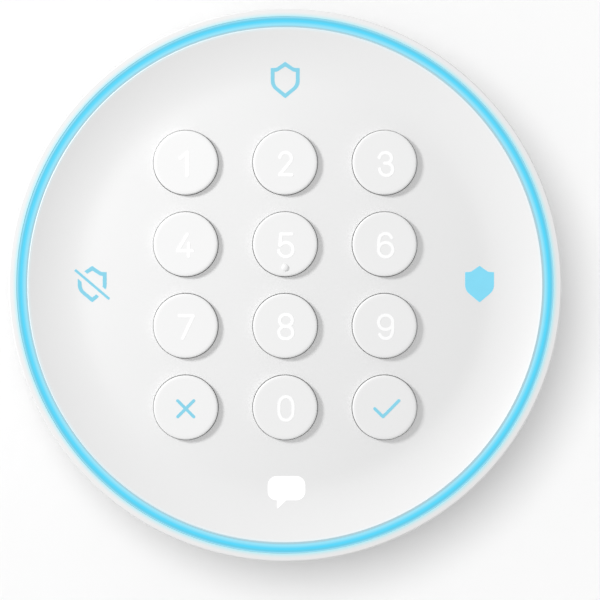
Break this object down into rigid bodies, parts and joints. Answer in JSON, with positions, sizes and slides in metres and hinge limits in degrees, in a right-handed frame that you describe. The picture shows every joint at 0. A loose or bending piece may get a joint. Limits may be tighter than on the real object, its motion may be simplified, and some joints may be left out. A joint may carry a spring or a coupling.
{
  "type": "alarm keypad",
  "caption": "Round wall or table alarm keypad: dished face with sprung number keys, touch marks and a lit ring, on a twist-off wall plate.",
  "frame": {"origin": "centre of the foot ring's underside, on the keypad's axis", "axes": "+Z out of the face along the keypad's axis, +Y towards the top of the keypad, +X to its right"},
  "size_m": [0.09, 0.09, 0.0273],
  "materials": {
    "casing_plastic": "fine satin white moulding, very light texture",
    "key_plastic": "smooth satin white moulding",
    "plate_plastic": "light grey moulding with a spark-eroded texture",
    "foot_rubber": "matt grey rubber",
    "ring_diffuser": "translucent diffuser, lit cyan, satin",
    "mark_cyan": "clear light guide with a cyan print, lit",
    "mark_white": "clear light guide with a white print, lit",
    "mat_silicone": "translucent silicone, matt",
    "board_laminate": "green solder mask over glass laminate",
    "black_plastic": "black moulding, matt",
    "speaker_cone": "pressed paper cone, matt",
    "magnet_steel": "zinc-plated steel pot",
    "battery_wrap": "blue shrink sleeve, satin",
    "pad_foam": "closed-cell foam tape, matt",
    "shield_steel": "tinned steel, satin",
    "screw_steel": "zinc-plated steel",
    "lead_sleeve": "red PVC sleeve, satin"
  },
  "bodies": {
    "mount": {"wall_plate": "plate_plastic", "foot_ring": "foot_rubber"},
    "housing": {"outer_shell": "casing_plastic", "rear_cover": "casing_plastic", "face_panel": "casing_plastic", "light_ring": "ring_diffuser", "key_mat": "mat_silicone", "mark_guide_home": "mark_cyan", "mark_guide_away": "mark_cyan", "mark_guide_off": "mark_cyan", "mark_guide_status": "mark_white", "main_board": "board_laminate", "led_strip": "board_laminate", "case_screw_1": "screw_steel", "case_screw_2": "screw_steel", "case_screw_3": "screw_steel", "case_screw_4": "screw_steel", "board_screw_1": "screw_steel", "board_screw_2": "screw_steel", "board_screw_3": "screw_steel", "board_screw_4": "screw_steel", "speaker_basket": "black_plastic", "speaker_cone": "speaker_cone", "speaker_magnet": "magnet_steel", "siren": "black_plastic", "backup_battery": "battery_wrap", "battery_pad": "pad_foam", "radio_module": "shield_steel", "power_socket": "shield_steel", "reset_switch": "black_plastic", "tamper_switch": "black_plastic", "tamper_spring": "screw_steel", "battery_lead": "lead_sleeve", "speaker_lead": "lead_sleeve"},
    "key_1": {"key_1": "key_plastic"},
    "key_2": {"key_2": "key_plastic"},
    "key_3": {"key_3": "key_plastic"},
    "key_4": {"key_4": "key_plastic"},
    "key_5": {"key_5": "key_plastic"},
    "key_6": {"key_6": "key_plastic"},
    "key_7": {"key_7": "key_plastic"},
    "key_8": {"key_8": "key_plastic"},
    "key_9": {"key_9": "key_plastic"},
    "key_cancel": {"key_cancel": "key_plastic"},
    "key_0": {"key_0": "key_plastic"},
    "key_enter": {"key_enter": "key_plastic"},
    "reset_button": {"reset_button": "key_plastic"},
    "tamper_plunger": {"tamper_plunger": "key_plastic"}
  },
  "joints": [
    {"name": "housing_twist", "type": "hinge", "parent": "mount", "child": "housing", "pos_m": [0, 0, 0], "axis": [0, 0, 1], "range_deg": [0, 30]},
    {"name": "key_1_press", "type": "slide", "parent": "housing", "child": "key_1", "axis": [0, 0, -1], "range_m": [0, 0.0008], "stiffness_N_per_m": 1200, "deforming": ["key_mat"]},
    {"name": "key_2_press", "type": "slide", "parent": "housing", "child": "key_2", "axis": [0, 0, -1], "range_m": [0, 0.0008], "stiffness_N_per_m": 1200, "deforming": ["key_mat"]},
    {"name": "key_3_press", "type": "slide", "parent": "housing", "child": "key_3", "axis": [0, 0, -1], "range_m": [0, 0.0008], "stiffness_N_per_m": 1200, "deforming": ["key_mat"]},
    {"name": "key_4_press", "type": "slide", "parent": "housing", "child": "key_4", "axis": [0, 0, -1], "range_m": [0, 0.0008], "stiffness_N_per_m": 1200, "deforming": ["key_mat"]},
    {"name": "key_5_press", "type": "slide", "parent": "housing", "child": "key_5", "axis": [0, 0, -1], "range_m": [0, 0.0008], "stiffness_N_per_m": 1200, "deforming": ["key_mat"]},
    {"name": "key_6_press", "type": "slide", "parent": "housing", "child": "key_6", "axis": [0, 0, -1], "range_m": [0, 0.0008], "stiffness_N_per_m": 1200, "deforming": ["key_mat"]},
    {"name": "key_7_press", "type": "slide", "parent": "housing", "child": "key_7", "axis": [0, 0, -1], "range_m": [0, 0.0008], "stiffness_N_per_m": 1200, "deforming": ["key_mat"]},
    {"name": "key_8_press", "type": "slide", "parent": "housing", "child": "key_8", "axis": [0, 0, -1], "range_m": [0, 0.0008], "stiffness_N_per_m": 1200, "deforming": ["key_mat"]},
    {"name": "key_9_press", "type": "slide", "parent": "housing", "child": "key_9", "axis": [0, 0, -1], "range_m": [0, 0.0008], "stiffness_N_per_m": 1200, "deforming": ["key_mat"]},
    {"name": "key_cancel_press", "type": "slide", "parent": "housing", "child": "key_cancel", "axis": [0, 0, -1], "range_m": [0, 0.0008], "stiffness_N_per_m": 1200, "deforming": ["key_mat"]},
    {"name": "key_0_press", "type": "slide", "parent": "housing", "child": "key_0", "axis": [0, 0, -1], "range_m": [0, 0.0008], "stiffness_N_per_m": 1200, "deforming": ["key_mat"]},
    {"name": "key_enter_press", "type": "slide", "parent": "housing", "child": "key_enter", "axis": [0, 0, -1], "range_m": [0, 0.0008], "stiffness_N_per_m": 1200, "deforming": ["key_mat"]},
    {"name": "reset_press", "type": "slide", "parent": "housing", "child": "reset_button", "axis": [-0.309, -0.9511, 0], "range_m": [0, 0.0005], "stiffness_N_per_m": 1200},
    {"name": "tamper_drop", "type": "slide", "parent": "housing", "child": "tamper_plunger", "axis": [0, 0, -1], "range_m": [0, 0.00121], "deforming": ["tamper_spring"]}
  ],
  "couplings": [
    {"joint": "tamper_drop", "follows": "housing_twist", "m_per_rad": 0.002292}
  ]
}
